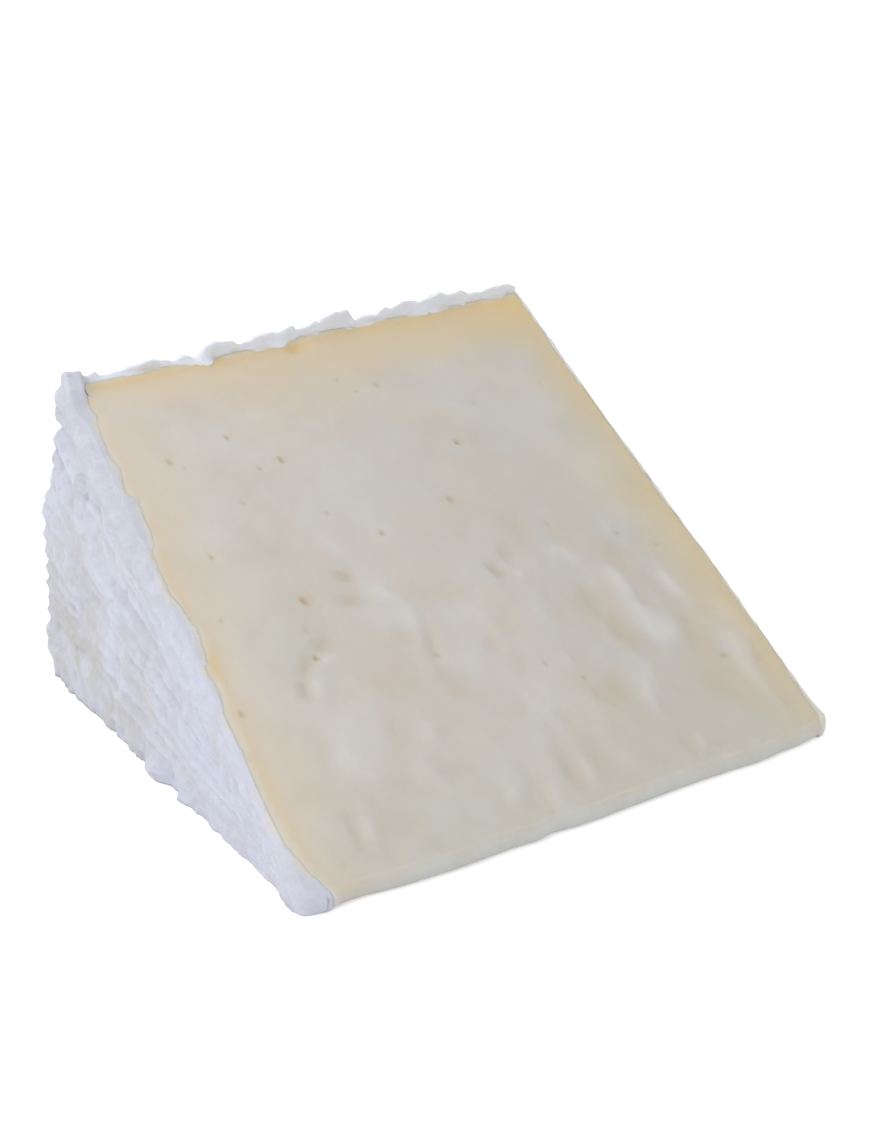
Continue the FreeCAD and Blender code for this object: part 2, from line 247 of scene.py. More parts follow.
def cut_texture(across, along):
    """Creases, streaks and swells of the upper cut.

    The streaks are noise drawn out two to three times as long as wide, along the way
    the cheese slumped, and they are strongest at the right and near the tip.
    """
    lean = across + 0.12 * along
    streaks = noise(at(lean / 3.4, along / 9.0), 1.0, 11)
    streaks += 0.6 * noise(at(lean / 1.8, along / 4.5), 1.0, 12)
    right = smooth((across + 22.0) / 45.0) * smooth((62.0 - along) / 35.0)
    low = smooth((30.0 - along) / 22.0) * smooth((along - 1.5) / 5.0)
    streaks = streaks * (0.05 + 0.17 * np.maximum(right, 0.7 * low))
    swells = 0.22 * rough(at(across, along), 9.0, 21, 3)
    return creased(across, along) + streaks + swells


def cut_height(across, along):
    """Height of the upper cut over its plane: its sweeps, its texture and its grain."""
    grain = 0.05 * rough(at(across, along), 2.4, 31, 3)
    return cut_sweeps(across, along) + cut_texture(across, along) + grain


# How far the blunt tip swells forward: across and forward.
NOSE_WAVES = (
    (-50.0, 0.0), (-44.5, 0.25), (-40.5, -0.3), (-34.0, 0.3), (-25.0, 0.75), (-16.0, 0.45),
    (-12.0, 0.55), (-9.0, 0.15), (-4.0, 0.55), (6.0, 0.35), (15.5, 0.0), (21.0, 0.2),
    (32.0, 0.65), (40.0, 0.25), (46.0, -0.35), (50.0, -0.6),
)


def nose_front(across):
    """How far behind the axis the blunt tip stands, where its round meets both cuts."""
    lift = cut_sweeps(across, 2.5) + 0.25 + 0.57 * eased(across, NOSE_WAVES)
    lift += 0.06 * rough(at(across, 0.0, 3.0), 4.0, 41)
    centre = (NOSE_ROUND * (1.0 + math.cos(WEDGE_ANGLE)) - lift) / math.sin(WEDGE_ANGLE)
    return centre - NOSE_ROUND, lift


def tip_height(across, along):
    """Height of the cut, eased from the nose's own height just behind the nose.

    What the nose stands above the cut where it ends dies away exponentially.
    """
    front, lift = nose_front(across)
    nose_end = (front + NOSE_ROUND) * math.cos(WEDGE_ANGLE) + NOSE_ROUND * math.sin(WEDGE_ANGLE)
    more = lift - cut_height(across, nose_end)
    return cut_height(across, along) + more * np.exp(-np.maximum(along - nose_end, 0.0) / 2.0)


def make_piece(name, rings, replaces=()):
    """A closed mesh from rings of points: quads between rings, a fan on each end."""
    count, around = rings.shape[:2]
    vertices = np.concatenate([rings.reshape(-1, 3), rings[[0, -1]].mean(axis=1)])
    index = np.arange(count * around).reshape(count, around)
    beside = np.roll(index, -1, axis=1)
    quads = np.stack([index[:-1], index[1:], beside[1:], beside[:-1]], axis=-1).reshape(-1, 4)
    start = np.stack([index[0], beside[0], np.full(around, count * around)], axis=-1)
    end = np.stack([beside[-1], index[-1], np.full(around, count * around + 1)], axis=-1)
    faces = quads.tolist() + start.tolist() + end.tolist()

    # Six times the volume is the sum of a . (b x c) over triangles, and it is below 0
    # when the faces point inwards.
    a, b, c, d = (vertices[quads[:, n]] for n in range(4))
    volume = np.sum(a * np.cross(b, c)) + np.sum(a * np.cross(c, d))
    if volume < 0:
        faces = [face[::-1] for face in faces]

    mesh = bpy.data.meshes.new(name)
    mesh.from_pydata((vertices * 0.001).tolist(), [], faces)
    mesh.polygons.foreach_set("use_smooth", np.ones(len(faces), dtype=bool))
    mesh.update()
    piece = bpy.data.objects.new(name, mesh)
    bpy.context.scene.collection.objects.link(piece)
    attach(piece, "root")
    if replaces:
        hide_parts(*replaces)
    return piece


def write_values(piece, name, values):
    """Keep one number a vertex on the mesh; the two end fans take the mean."""
    values = np.asarray(values, dtype=float).ravel()
    values = np.append(values, [values.mean(), values.mean()])
    piece.data.attributes.new(name, "FLOAT", "POINT").data.foreach_set("value", values)


# Columns run across the wheel, and each is a ring in its own upright plane: round the
# nose, up the cut, down the outer wall and back along the lower cut.  The nose stands
# back at its two ends, where the rind's corners wrap it.
part_across = np.linspace(-1.0, 1.0, 289)[:, None]
under = np.where(part_across < 0, UNDER_LEFT, UNDER_RIGHT)
under = under * smooth(np.abs(part_across) * 4.0)
near_tip = part_across * (half_width(0.0) - under)
front, lift = nose_front(near_tip)
tip_gap = half_width(0.0) - np.abs(near_tip)
recess = np.where(near_tip < 0, 1.1 * smooth((3.6 - tip_gap) / 2.2),
                  0.5 * smooth((2.0 - tip_gap) / 1.3))
centre = front + recess + NOSE_ROUND

# The nose is an arc from straight down, round the front, to square with the cut.
turn = np.radians(np.linspace(270.0, 90.0 + math.degrees(WEDGE_ANGLE), 24))[None, :]
nose_y = centre + NOSE_ROUND * np.cos(turn)
nose_z = NOSE_ROUND + NOSE_ROUND * np.sin(turn) + 0 * centre
nose_end = centre * math.cos(WEDGE_ANGLE) + NOSE_ROUND * math.sin(WEDGE_ANGLE)

# The cut goes from the end of the nose to just inside the outer rind.
part = np.linspace(0.0, 1.0, 272)[None, 1:]
rim = outer_radius(part_across * RIM_WIDTH / 2) - UNDER_RIM
along = nose_end + (rim - nose_end) * part
across = part_across * (half_width(along * math.cos(WEDGE_ANGLE)) - under)
height = cut_height(across, along)
more = lift - recess * math.sin(WEDGE_ANGLE) - cut_height(near_tip, nose_end)
height += more * np.exp(-(along - nose_end) / 2.0)

# Near the sides and the rim it dips under the edge of the rind.
side_gap = half_width(along * math.cos(WEDGE_ANGLE)) - np.abs(across)
rim_gap = outer_radius(across) - along
left_dip = 1.3 * smooth((1.5 - side_gap) / 0.9) * smooth(along / 12.0)
height -= np.where(across < 0, left_dip, 0.8 * smooth((0.75 - side_gap) / 0.3))
height -= 0.9 * smooth((0.6 - rim_gap) / 0.35)
height += holed(across, along)
cut_y = along * OUT[1] + height * NORMAL[1]
cut_z = along * OUT[2] + height * NORMAL[2]

# The outer wall turns down round the axis and soon lies deeper under the rind, and the
# lower cut comes back level.
fall = np.linspace(1.0, 0.0, 16)[None, 1:] * (WEDGE_ANGLE - RIM_TURN)
wall_deep = smooth((1.0 - fall / WEDGE_ANGLE) * 14.0)
wall_radius = rim - (UNDER_WALL - UNDER_RIM) * wall_deep
wall_y = wall_radius * np.cos(fall)
wall_z = wall_radius * np.sin(fall)
back = np.linspace(1.0, 0.0, 15)[None, 1:-1]
floor_y = centre + (wall_y[:, -1:] - centre) * back
floor_z = 0 * floor_y

ring_y = np.concatenate([nose_y, cut_y, wall_y, floor_y], axis=1)
ring_z = np.concatenate([nose_z, cut_z, wall_z, floor_z], axis=1)
deep = np.concatenate([0 * turn, 0 * part, wall_deep, 1.0 + 0 * back], axis=1)
ring_x = part_across * (half_width(ring_y) - under - (UNDER_WALL - under) * deep)

# Two more rings at each end take it down under the rind, well clear of the skin.
middle_y, middle_z = ring_y.mean(axis=1, keepdims=True), ring_z.mean(axis=1, keepdims=True)


def end_rings(column, side):
    """Rings like the end column, drawn 5 and 9 hundredths in, and UNDER_WALL deep."""
    rings = []
    for draw in (0.05, 0.09):
        y = ring_y[[column]] + (middle_y[column] - ring_y[[column]]) * draw
        z = ring_z[[column]] + (middle_z[column] - ring_z[[column]]) * draw
        rings.append(np.stack([side * (half_width(y) - UNDER_WALL), y, z], axis=-1))
    return rings


rings = np.stack([ring_x, ring_y, ring_z], axis=-1)
first, second = end_rings(0, -1.0)
before_last, last = end_rings(-1, 1.0)
paste_points = lean_in(np.concatenate([second, first, rings, before_last, last])) + AXIS
paste = make_piece("paste", paste_points, ["cheese_wedge"])

# Where the rind ends on the left of the cut: along from the tip and inward.
LEFT_BORDER = (
    (0.0, 3.9), (3.0, 3.6), (5.0, 3.1), (9.0, 2.6), (13.0, 2.0), (19.0, 1.9),
    (24.0, 2.1), (30.0, 2.5), (32.5, 2.2), (35.5, 2.8), (38.0, 2.8), (40.5, 2.2),
    (44.0, 3.5), (47.0, 3.5), (49.5, 2.7), (55.0, 1.9), (60.0, 1.9), (64.5, 3.2),
    (67.0, 3.0), (71.0, 3.5), (73.0, 2.7), (78.0, 3.1), (85.0, 2.9), (88.0, 3.4),
    (91.0, 3.0), (95.0, 3.8), (98.0, 4.4),
)

# What colours the paste: its distance from the rind, its place and its holes, with painted shade
# and light beside the rind, on the relief, in the holes and at the tip.
ring_x, ring_y, ring_z = np.moveaxis(paste_points - AXIS, -1, 0)
ring_along = np.hypot(ring_y, ring_z)
to_side = half_width(ring_y) - np.abs(ring_x)
to_rim = outer_radius(ring_x) - ring_along
on_cut = at(ring_x, ring_along)
wander = 1.0 + 0.4 * rough(on_cut, 11.0, 51, 2)
from_left = np.where(ring_x < 0, to_side, AWAY)
from_right = np.where(ring_x > 0, to_side, AWAY)
cream = np.maximum.reduce([
    (0.92 + 0.08 * ring_x / RIM_WIDTH) * hump(np.maximum(to_rim - 1.0, 0.0), 11.0 * wander),
    0.63 * hump(np.maximum(from_left - 2.5, 0.0), (5.0 + 0.05 * ring_along) * wander),
    0.75 * hump(np.maximum(from_right - 0.6, 0.0), 8.5 * wander)
    * (1.0 - 0.4 * smooth((24.0 - ring_along) / 18.0)),
])
write_values(paste, "creamline", cream)
# Deeper ochre beside the rind: the ripest paste, with painted shadow as a line under the rind's
# raised edge on the left and under the rim's lip, and as spots under the tallest torn lumps of the
# rim.
beside = np.maximum(0.25 * hump(np.maximum(from_left - 3.0, 0.0), 1.2),
                    0.65 * hump(np.maximum(to_rim - 2.0, 0.0), 1.4 * wander))
beside += 0.55 * hump(from_left - 3.5, 1.3) * hump(ring_along - 42.0, 3.5)
beside += 0.8 * hump(from_right - 4.0, 6.0) * hump(to_rim - 4.0, 7.0)
beside += hump(ring_x + 5.4, 1.9) * hump(to_rim - 2.4, 1.5)
beside += 0.6 * hump(ring_x + 20.0, 1.2) * hump(to_rim - 1.8, 1.2)
beside += 0.5 * hump(ring_x - 12.0, 4.0) * hump(to_rim - 1.2, 1.2)
write_values(paste, "ochre_and_shade_by_rind", np.clip(beside, 0.0, 1.0))
write_values(paste, "tip", 0.6 * hump(ring_along, 16.0 * wander))
# The blunt tip and the left tip corner: a paler, cooler centre of the wheel, with painted shade and
# painted bounce light of the table where the edge turns down.
nose_shade_and_bloom = smooth((4.6 + 1.0 * rough(on_cut, 5.0, 61) - ring_along) / 3.4)
corner = smooth((11.5 + 1.5 * rough(on_cut, 4.0, 65) - ring_along - from_left) / 5.0)
write_values(paste, "nose_shade_and_bloom", np.maximum(nose_shade_and_bloom, corner))
# How deep each of the holes is: it paints them darker, a yellower inside with painted shade in
# their recesses.
write_values(paste, "hole_tint_and_shade", np.clip(-holed(ring_x, ring_along) * 2.2 - 0.15, 0.0, 0.8))
write_values(paste, "to_right", ring_x / RIM_WIDTH + 0.5)
# How raised the cut's texture is: it paints shade in the creases and light on the ridges.
write_values(paste, "raised", np.clip(0.5 + cut_texture(ring_x, ring_along) / 1.3, 0.0, 1.0))
past_rind = np.minimum(from_left - eased(ring_along, LEFT_BORDER), to_rim - 1.0)
past_rind = past_rind + 0.5 * rough(on_cut, 1.6, 71, 3)
# A paler band past the rind: the mould's first threads, and painted light over the shade of the
# crease there.
frost_and_crease_light = np.maximum(0.55 * hump(np.maximum(past_rind, 0.0), 0.7), 0.6 * hump(from_right - 0.6, 0.7))
write_values(paste, "frost_and_crease_light", frost_and_crease_light)


def linear(colour):
    """An sRGB hex colour as linear light, with an alpha of 1.

    A channel c up to 0.04045 becomes c / 12.92, and above that it becomes
    (c + 0.055) / 1.055, to the power 2.4.
    """
    srgb = np.array([int(colour[n:n + 2], 16) for n in (0, 2, 4)]) / 255
    light = np.where(srgb <= 0.04045, srgb / 12.92, ((srgb + 0.055) / 1.055) ** 2.4)
    return (*light.tolist(), 1.0)


def add(material, kind, settings, inputs):
    """Add a node: settings go on the node, and inputs are values or links by socket."""
    node = material.node_tree.nodes.new(kind)
    for name, value in settings.items():
        setattr(node, name, value)
    for socket, value in inputs.items():
        if isinstance(value, bpy.types.NodeSocket):
            material.node_tree.links.new(value, node.inputs[socket])
        else:
            node.inputs[socket].default_value = value
    return node


def coated(material, colour, coats):
    """Lay coats over a colour, in their order, and give the colour that comes out.

    Each coat tells what shows it, the value of that where it starts and where it is
    full, how much it covers there, and its own colour.
    """
    for shown_by, start, full, most, coat in coats:
        share = add(material, "ShaderNodeMapRange", {}, {
            "Value": shown_by, "From Min": start, "From Max": full, "To Max": most})
        mixed = add(material, "ShaderNodeMix", {"data_type": "RGBA"}, {
            0: share.outputs["Result"], 6: colour, 7: coat})
        colour = mixed.outputs[2]
    return colour


# Ripened sheep's-milk paste: a dense, moist, milky body that light enters and leaves
# again.  It gives soft edges, a dull satin gleam, and an ivory that turns to straw
# and ochre where the mould has worked longest, next to the rind.
# Its colour carries painted shade and light too: darker to the right, beside the rind, in creases
# and holes, and at the tip, and paler on ridges and past the rind.
cheese = bpy.data.materials.new("ripened_sheep_paste")
cheese.use_nodes = True
cheese.node_tree.nodes.clear()
place = add(cheese, "ShaderNodeTexCoord", {}, {}).outputs["Object"]

kept = {name: add(cheese, "ShaderNodeAttribute", {"attribute_name": name}, {}).outputs["Fac"]
        for name in ("to_right", "raised", "tip", "creamline", "ochre_and_shade_by_rind", "hole_tint_and_shade",
                     "nose_shade_and_bloom", "frost_and_crease_light")}

# The ivory body and the straw of the creamline both change from left to right.
# Both are painted darker to the right, as shade of the light falling off from the lamp on the left;
# the straw also turns more ochre.
ivory = add(cheese, "ShaderNodeMix", {"data_type": "RGBA"}, {
    0: kept["to_right"], 6: linear("d0ccc6"), 7: linear("c0beb9")})
straw = add(cheese, "ShaderNodeMix", {"data_type": "RGBA"}, {
    0: kept["to_right"], 6: linear("d7cab5"), 7: linear("d1bf97")})

# Patches 14 and 17 mm across.
patches = add(cheese, "ShaderNodeTexNoise", {}, {
    "Vector": place, "Scale": 1 / 0.014, "Detail": 4.0, "Roughness": 0.5})
whey = add(cheese, "ShaderNodeTexNoise", {"noise_dimensions": "4D"}, {
    "Vector": place, "W": 3.0, "Scale": 1 / 0.017, "Detail": 2.0, "Roughness": 0.4})

colour = coated(cheese, ivory.outputs[2], (
    # Patches of pinkish beige and of grey-green.
    (patches.outputs["Fac"], 0.45, 0.7, 0.65, linear("cabfb3")),
    (whey.outputs["Fac"], 0.5, 0.75, 0.5, linear("c2c2b8")),
    # Painted shade and light on the relief: hollows are painted a darker warm beige, and ridges a
    # pale cool grey.
    (kept["raised"], 0.5, 0.1, 0.5, linear("c2b6a4")),
    (kept["raised"], 0.5, 0.9, 0.5, linear("d4d5d6")),
    # The tip is thin, so it dries paler and greener.
    (kept["tip"], 0.0, 1.0, 1.0, linear("c1beb2")),
    # The creamline, and the deeper ochre right beside the rind, which is partly painted shadow
    # under the rind's edge and its torn lumps.
    (kept["creamline"], 0.0, 1.0, 1.0, straw.outputs[2]),
    (kept["ochre_and_shade_by_rind"], 0.0, 1.0, 1.0, linear("d6bf92")),
    # Holes are darker and yellower by their depth: a yellower inside with painted shade in their
    # recesses. The blunt tip is painted a cool grey: the paler centre of the wheel, with painted
    # shade and painted bounce light of the table where the edge turns down.
    (kept["hole_tint_and_shade"], 0.0, 1.0, 1.0, linear("b9a37c")),
    (kept["nose_shade_and_bloom"], 0.0, 1.0, 1.0, linear("c9cbc9")),
    # The paste is paler for a millimetre past the rind, where the mould's first threads whiten it,
    # and this is also painted light that lifts the shade of the crease where rind and paste meet.
    (kept["frost_and_crease_light"], 0.0, 1.0, 1.0, linear("d8d6cd")),
))

# Curd grain about 1.2 mm across, as low bumps, and a gleam that differs by patches.
grain = add(cheese, "ShaderNodeTexNoise", {}, {
    "Vector": place, "Scale": 1 / 0.0012, "Detail": 3.0, "Roughness": 0.5})
bumps = add(cheese, "ShaderNodeBump", {}, {
    "Strength": 0.18, "Distance": 0.0003, "Height": grain.outputs["Fac"]})
moist = add(cheese, "ShaderNodeMapRange", {}, {
    "Value": patches.outputs["Fac"], "From Min": 0.3, "From Max": 0.7, "To Min": 0.42,
    "To Max": 0.56})
body = add(cheese, "ShaderNodeBsdfPrincipled", {}, {
    "Base Color": colour, "Roughness": moist.outputs["Result"], "IOR": 1.42,
    "Subsurface Weight": 1.0, "Subsurface Radius": (1.0, 0.75, 0.5),
    "Subsurface Scale": 0.0008, "Normal": bumps.outputs["Normal"]})
add(cheese, "ShaderNodeOutputMaterial", {}, {"Surface": body.outputs["BSDF"]})
paste.data.materials.append(cheese)

# --- The rind ---------------------------------------------------------------------
# The skin of the wheel: a felt of white mould grown over a thin ripened crust, which
# covers both sides and the outer wall.  It wraps the paste as one piece, and the
# knife dragged it over the left edge of the cut and tore it along the rim.

LEFT_ROLL, RIGHT_ROLL, RIM_ROLL = 2.4, 1.0, 0.8     # radius of the rolled edge
TOP_ROLL = 0.7                          # and where a side comes to the rim
ROLL_TURN = math.radians(66.0)          # how far the edge rolls before it lies on the cut
SHOULDER = 1.1                          # round between a side and the outer wall
LEFT_CORNER, RIGHT_CORNER = 2.7, 1.4    # round where a side turns onto the nose
RIND_DEPTH = 2.5                        # how thick it is below the cut
NOSE_BACK = 1.6                         # about how far behind the axis the nose stands
UNDER_NOSE = 0.9                        # how far it dives under the paste at the nose
RIM_MEET = 0.47                         # how far in the rolled edge of the rim reaches
FROM_NOSE, FROM_RIM = 200.0, 90.0       # stand for the far end of the cut
RIDGE_PITCH = 12.0                      # from one broad ridge of the sides to the next

# How high the torn edge stands along the rim: across and height.
TORN = (
    (-48.5, 2.7), (-44.8, 2.5), (-44.1, 1.1), (-43.2, 0.9), (-42.3, 1.7), (-41.0, 0.6),
    (-38.0, 0.6), (-35.0, 0.8), (-33.2, 1.4), (-30.5, 0.9), (-28.0, 0.3), (-26.4, 0.7),
    (-23.6, 0.2), (-22.2, 2.6), (-20.3, 3.0), (-17.5, 2.6), (-15.8, 1.4), (-13.8, 1.5),
    (-12.2, 2.3), (-9.7, 2.3), (-8.2, 2.4), (-5.6, 3.0), (-4.2, 1.8), (-2.2, 1.4),
    (-1.2, 1.5), (-0.6, 2.8), (0.0, 1.5), (1.2, 3.2), (3.4, 3.7), (5.6, 3.9), (7.2, 2.6),
    (8.4, 1.0), (10.6, 1.3), (12.8, 1.0), (14.6, 2.6), (16.2, 2.0), (19.0, 3.2),
    (21.3, 2.8), (23.5, 2.3), (26.4, 3.2), (29.8, 2.9), (32.2, 3.2), (34.8, 2.2),
    (37.5, 1.5), (39.4, 2.1), (41.8, 2.5), (44.0, 2.3), (46.2, 1.2), (48.5, 0.2),
)

# How far the felt lies over the rim of the cut: across and inward.
RIM_BORDER = (
    (-48.0, 4.7), (-45.0, 4.4), (-43.8, 1.3), (-38.0, 1.2), (-33.0, 0.8), (-27.0, 1.3),
    (-21.6, 1.9), (-19.8, 0.8), (-15.0, 0.8), (-11.0, 1.5), (-7.4, 2.2), (-5.0, 1.2),
    (-3.0, 0.8), (3.0, 0.8), (9.0, 1.0), (14.0, 0.7), (20.0, 1.0), (26.0, 1.5),
    (31.0, 0.9), (36.0, 0.7), (41.0, 1.1), (48.0, 0.7),
)


def soft_positive(value):
    """The value where it is well above 0, and a little above 0 where it isn't."""
    return 0.5 * (value + np.sqrt(value ** 2 + 0.04))


# The path that the rind follows, seen square to the cut: a bit of the nose, a corner,
# the left side, a shoulder, the outer wall, and the same again on the right.
nose_run = np.linspace(7.0, LEFT_CORNER, 14)
left_run = np.linspace(LEFT_CORNER, LEFT_RADIUS - SHOULDER - NOSE_BACK, 290)
wall_run = np.linspace(-RIM_WIDTH / 2 + SHOULDER, RIM_WIDTH / 2 - SHOULDER, 220)
right_run = np.linspace(RIGHT_RADIUS - SHOULDER - NOSE_BACK, RIGHT_CORNER, 112)
short_run = np.linspace(RIGHT_CORNER, 2.6, 14)
quarter = np.linspace(0.0, math.pi / 2, 14)[1:-1]
less_sine, less_cosine = 1.0 - np.sin(quarter), 1.0 - np.cos(quarter)

# Each stretch of it: which side it is on, and how far it starts from the side, from
# the nose and from the rim, each with the share of that which it keeps when it is
# drawn inward.
stretches = (
    (-1.0, nose_run, 1.0, 0.0, 0.0, FROM_RIM, 1.0),
    (-1.0, LEFT_CORNER, less_sine, LEFT_CORNER, less_cosine, FROM_RIM, 1.0),
    (-1.0, 0.0, 0.0, left_run, 1.0, LEFT_RADIUS - NOSE_BACK - left_run, 1.0),
    (-1.0, SHOULDER, less_cosine, FROM_NOSE, 1.0, SHOULDER, less_sine),
    (np.where(wall_run < 0, -1.0, 1.0), RIM_WIDTH / 2 - np.abs(wall_run), 1.0,
     FROM_NOSE, 1.0, 0.0, 0.0),
    (1.0, SHOULDER, less_cosine[::-1], FROM_NOSE, 1.0, SHOULDER, less_sine[::-1]),
    (1.0, 0.0, 0.0, right_run, 1.0, RIGHT_RADIUS - NOSE_BACK - right_run, 1.0),
    (1.0, RIGHT_CORNER, less_sine[::-1], RIGHT_CORNER, less_cosine[::-1], FROM_RIM, 1.0),
    (1.0, short_run, 1.0, 0.0, 0.0, FROM_RIM, 1.0),
)
columns = [np.stack(np.broadcast_arrays(*stretch)) for stretch in stretches]
side, from_side, side_share, run, nose_share, from_rim, rim_share = np.concatenate(columns, axis=1)

# Past each tip corner it dives under the paste, so that it ends out of sight.
corner = np.where(side < 0, LEFT_CORNER, RIGHT_CORNER)
under_nose = (run == 0) * smooth((from_side - corner - 0.3) / np.where(side < 0, 3.4, 0.9))
sunk = UNDER_NOSE * under_nose[:, None]


def inset_place(inward):
    """Where each column of the path lies when it is drawn inward: across, and along.

    Each of its three distances becomes the inset, plus its share of what is left of
    its own start, so that the path keeps its order and its corners tighten.
    """
    e = inward + soft_positive(from_side[:, None] - inward) * side_share[:, None]
    behind = inward + soft_positive(run[:, None] - inward) * nose_share[:, None]
    short = inward + soft_positive(from_rim[:, None] - inward) * rim_share[:, None]
    return e, behind, short


def column_place(inward, down):
    """Points of the outer skin at an inset and a depth below the cut's plane.

    A place on the wall keeps its radius from the axis, so along the cut it lies at
    the root of radius squared less depth squared.  Near the tip each upright line is
    drawn onto the blunt nose: it moves by as much as the nose's arc lies off the arc
    about the axis, at the same share of the climb.
    """
    e, behind, short = inset_place(inward)
    tipward = smooth((from_rim[:, None] - 15.0) / 60.0)
    guess = side[:, None] * (RIM_WIDTH / 2 - e)
    front, _ = nose_front(side[:, None] * (half_width(0.0) - e))
    from_tip = front + sunk + behind
    radius = outer_radius(guess) - short
    radius = radius + (np.minimum(from_tip, 150.0) - radius) * tipward
    deep = np.maximum(down, 0.0)
    along = np.sqrt(np.maximum(radius ** 2 - deep ** 2, 0.0))
    y = along * OUT[1] - down * NORMAL[1]
    z = along * OUT[2] - down * NORMAL[2]

    share = 1.0 - np.arcsin(np.clip(deep / radius, 0.0, 1.0)) / WEDGE_ANGLE
    share = np.clip(share, 0.0, 1.0)
    turn = 1.5 * math.pi - (math.pi - WEDGE_ANGLE) * share
    near = tipward * smooth(1.0 - behind / 7.0)
    back = NOSE_ROUND * (1.0 + np.cos(turn)) * np.where(turn > math.pi, 0.5, 1.0)
    y = y + near * (front + back - front * np.cos(WEDGE_ANGLE * share))
    z = z + near * (NOSE_ROUND * (1.0 + np.sin(turn)) - front * np.sin(WEDGE_ANGLE * share))
    x = side[:, None] * (half_width(y) - e)
    return x, y, z, along


# How the edge of the rind is finished, column by column: its roll is as tight as each
# place lets it be, and tightest at the nose.
base_x, _, _, base_along = column_place(np.zeros((len(side), 1)), np.zeros((1, 1)))
base_x, base_along = base_x[:, 0], base_along[:, 0]
on_wall = smooth(1.0 - np.abs(from_rim) / 3.0)
on_nose = smooth(1.0 - run / 3.0)
side_roll = np.where(side < 0, LEFT_ROLL, RIGHT_ROLL)
side_roll = TOP_ROLL + (side_roll - TOP_ROLL) * smooth((92.0 - base_along) / 6.0)
roll = side_roll * (1.0 - on_wall) + RIM_ROLL * on_wall
roll = roll * np.tanh(0.53 * np.maximum(base_along, 1.6) / roll) * (1.0 - 0.6 * on_nose)

path = np.stack([base_x, base_along, np.full(len(side), 7.0)], axis=-1)


def rim_lip(across, inward):
    """How high the torn edge stands at a place, by its way in from the outer wall.

    From the rolled edge it falls away as a square towards the border, but the block
    left standing at the left end slopes gently down into the strip of felt in front.
    """
    block = smooth((-43.6 - across) / 0.8)
    reach = eased(across, RIM_BORDER) + 2.6 * block
    still = np.clip((reach - inward) / (reach - RIM_MEET), 0.0, 1.0)
    share = smooth(still) * block + still ** 2 * (1.0 - block)
    ragged = 0.3 * rough(at(across, outer_radius(across), 7.0), 1.6, 75, 2)
    return np.maximum(eased(across, TORN) + ragged * (1.0 - block), 0.15) * share


torn = rim_lip(base_x, from_rim)

# Where the felt ends, raggedly, and how high its edge stands over the paste.
border = np.where(side < 0, eased(base_along, LEFT_BORDER), 0.9)
ragged = rough(path, 3.2, 81, 2) + 0.8 * noise(path, 1.3, 83) + 0.4 * noise(path, 0.8, 84)
border = border + np.where(side < 0, 0.3, 0.12) * ragged
rim_border = eased(base_x, RIM_BORDER) + 0.22 * ragged
border = border * (1.0 - on_wall) + rim_border * on_wall
meet = roll * (1.0 - math.cos(ROLL_TURN))
border = np.maximum(border, meet + 0.2)
step = 0.04 + 0.04 * smooth((base_along - 20.0) / 30.0) + 0.03 * rough(path, 5.0, 91)

# Rows of the skin: up the wall, closer together near the top, over the roll, and inward
# until it goes under.
roll_start = roll * math.sin(ROLL_TURN) - torn
climb = 1.0 - (1.0 - np.linspace(0.0, 1.0, 99)[None, :-1]) ** 1.35
_, _, _, reach = column_place(np.zeros((len(side), 1)), np.maximum(roll_start, 0.0)[:, None])
radius = np.hypot(reach, np.maximum(roll_start, 0.0)[:, None])
start_angle = WEDGE_ANGLE - np.arcsin(np.clip(roll_start[:, None] / radius, -1.0, 0.999))
start_angle = np.maximum(start_angle, 0.02)
wall_down = radius * np.sin(WEDGE_ANGLE - start_angle * climb)
wall_in = 0 * wall_down
bend_angle = ROLL_TURN * np.linspace(0.0, 1.0, 17)[None, :]
roll_in = roll[:, None] * (1.0 - np.cos(bend_angle))
roll_down = roll[:, None] * (math.sin(ROLL_TURN) - np.sin(bend_angle)) - torn[:, None]
onward = np.linspace(0.0, 1.0, 12)[None, 1:]
past = np.linspace(0.0, 1.0, 6)[None, 1:]
top_in = np.concatenate(
    [meet[:, None] + (border - meet)[:, None] * onward, border[:, None] + past], axis=1)
top_e, _, top_short = inset_place(top_in)
top_down = -rim_lip(side[:, None] * (RIM_WIDTH / 2 - top_e), top_short)

inward = np.concatenate([wall_in, roll_in, top_in], axis=1)
down = np.concatenate([wall_down, roll_down, top_down], axis=1)
x, y, z, _ = column_place(inward, down)

# Where it lies on the cut it follows the paste, a step above it, and goes under at
# the border: the step times the tanh of the distance still to go.
follow = smooth(inward / (meet[:, None] + 0.4))
raised = step[:, None] * np.tanh((border[:, None] - inward) / 0.6)
on_cut = y * OUT[1] + z * OUT[2]
already = y * NORMAL[1] + z * NORMAL[2] + down
lift = follow * (tip_height(x, on_cut) + raised - sunk - already)
y = y + lift * NORMAL[1]
z = z + lift * NORMAL[2]

# The inner side goes back down to the lower cut, turning about the axis as the outer
# one does, and the ring closes along the lower cut.
depth = np.linspace(0.0, 1.0, 9)[None, 1:]
end_in = inward[:, -1:]
inner_in = end_in + (RIND_DEPTH - end_in) * smooth(depth * 2.5)
_, _, _, inner_radius = column_place(inner_in, 0 * inner_in)
inner_angle = (1.0 - depth) * (WEDGE_ANGLE - np.minimum(0.7 / inner_radius, 0.3))
inner_y = inner_radius * np.cos(inner_angle)
inner_z = inner_radius * np.sin(inner_angle)
inner_x = side[:, None] * (half_width(inner_y) - inset_place(inner_in)[0])

rind_x = np.concatenate([x, inner_x], axis=1)
rind_y = np.concatenate([y, inner_y], axis=1)
rind_z = np.concatenate([z, inner_z], axis=1)
bare = np.stack([rind_x, rind_y, rind_z], axis=-1)


